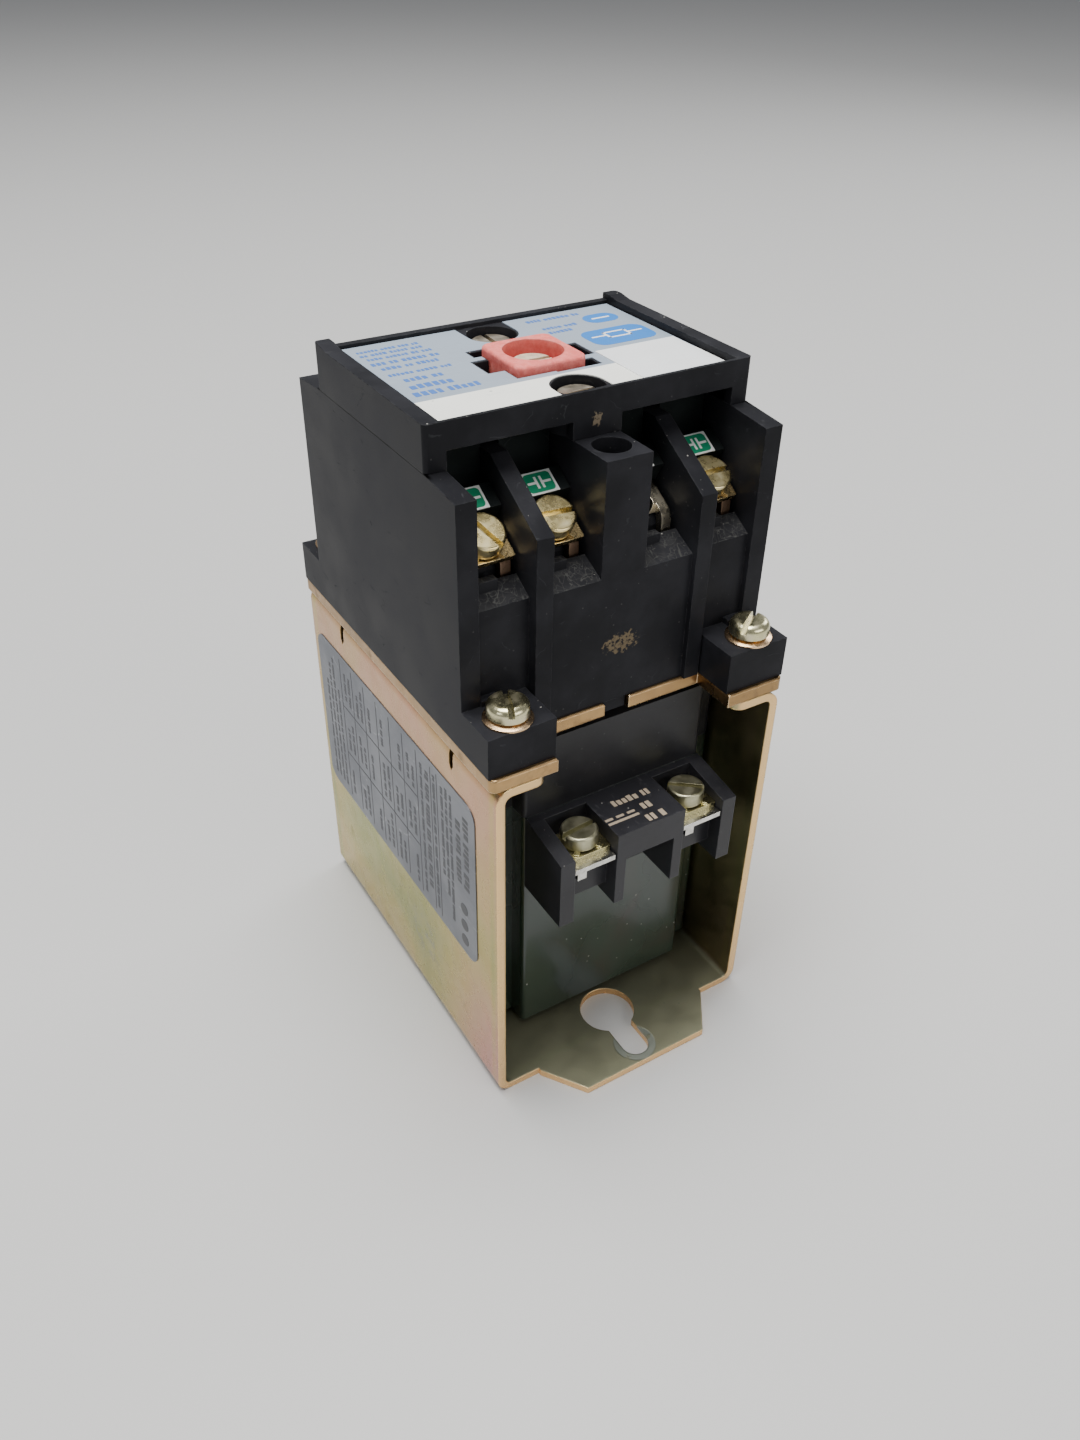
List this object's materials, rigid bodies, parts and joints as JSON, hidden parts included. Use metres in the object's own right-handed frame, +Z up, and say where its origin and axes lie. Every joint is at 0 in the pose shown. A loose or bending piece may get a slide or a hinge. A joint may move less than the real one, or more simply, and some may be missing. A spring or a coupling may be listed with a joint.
{
  "type": "industrial control relay",
  "caption": "Panel-mounted control relay: folded steel coil frame under a black contact block with screw terminals, raised barriers, screwed cover and red push actuator.",
  "frame": {"origin": "centre of the mounting face under the coil frame, on the plunger's axis", "axes": "+Z up from the mounting face along the plunger's travel, -Y towards the coil terminals, +X across the poles"},
  "size_m": [0.0586, 0.0926, 0.1282],
  "materials": {
    "zinc_steel": "yellow zinc chromate",
    "plate_steel": "yellow zinc chromate, sheared edges",
    "core_steel": "machined magnet steel",
    "black_moulding": "satin thermoset",
    "coil_moulding": "glossy encapsulation",
    "bobbin_plastic": "natural nylon",
    "enamelled_wire": "enamelled copper",
    "guide_brass": "drawn",
    "tinned_brass": "tinned",
    "terminal_copper": "rolled copper alloy",
    "terminal_zinc": "yellow zinc",
    "nickel_screw": "dull nickel",
    "corner_zinc": "yellow zinc",
    "washer_copper": "copper flash",
    "contact_silver": "silver",
    "spring_steel": "bright spring wire",
    "red_moulding": "matte nylon",
    "pale_moulding": "natural nylon",
    "shim_brass": "sheet",
    "paper_label": "printed",
    "white_sticker": "gloss",
    "foil_label": "printed foil",
    "green_label": "printed"
  },
  "bodies": {
    "relay_body": {"magnet_frame": "zinc_steel", "pole_plate": "plate_steel", "fixed_core": "core_steel", "residual_shim": "shim_brass", "guide_tube": "guide_brass", "coil_bobbin": "bobbin_plastic", "coil_winding": "enamelled_wire", "coil_jacket": "coil_moulding", "coil_cap": "black_moulding", "coil_terminal_block": "black_moulding", "coil_terminals": "tinned_brass", "coil_clamps": "terminal_zinc", "coil_screws": "nickel_screw", "base_housing": "black_moulding", "cover": "black_moulding", "cover_screws": "nickel_screw", "corner_washers": "washer_copper", "corner_screws": "corner_zinc", "fixed_tips": "contact_silver", "terminal_clamps": "terminal_zinc", "terminal_screws": "terminal_zinc", "return_spring": "spring_steel", "top_label": "paper_label", "tag_sticker": "white_sticker", "rating_label": "foil_label", "pole_labels": "green_label", "front_strap_1": "terminal_copper", "rear_strap_1": "terminal_copper", "contact_cartridge_1": "black_moulding", "front_strap_2": "terminal_copper", "rear_strap_2": "terminal_copper", "contact_cartridge_2": "black_moulding", "front_strap_3": "terminal_copper", "rear_strap_3": "terminal_copper", "contact_cartridge_3": "black_moulding", "front_strap_4": "terminal_copper", "rear_strap_4": "terminal_copper", "contact_cartridge_4": "black_moulding"},
    "carrier": {"plunger": "core_steel", "stem": "guide_brass", "actuator_carrier": "red_moulding", "actuator_screw": "pale_moulding", "moving_tips": "contact_silver", "moving_bridge_1": "terminal_copper", "moving_bridge_2": "terminal_copper", "moving_bridge_3": "terminal_copper", "moving_bridge_4": "terminal_copper", "contact_spring_1": "spring_steel", "contact_spring_2": "spring_steel", "contact_spring_3": "spring_steel", "contact_spring_4": "spring_steel"}
  },
  "joints": [
    {"name": "armature_travel", "type": "slide", "parent": "relay_body", "child": "carrier", "axis": [0, 0, -1], "range_m": [0, 0.003], "stiffness_N_per_m": 700, "springref_m": -0.006, "deforming": ["return_spring"]}
  ]
}
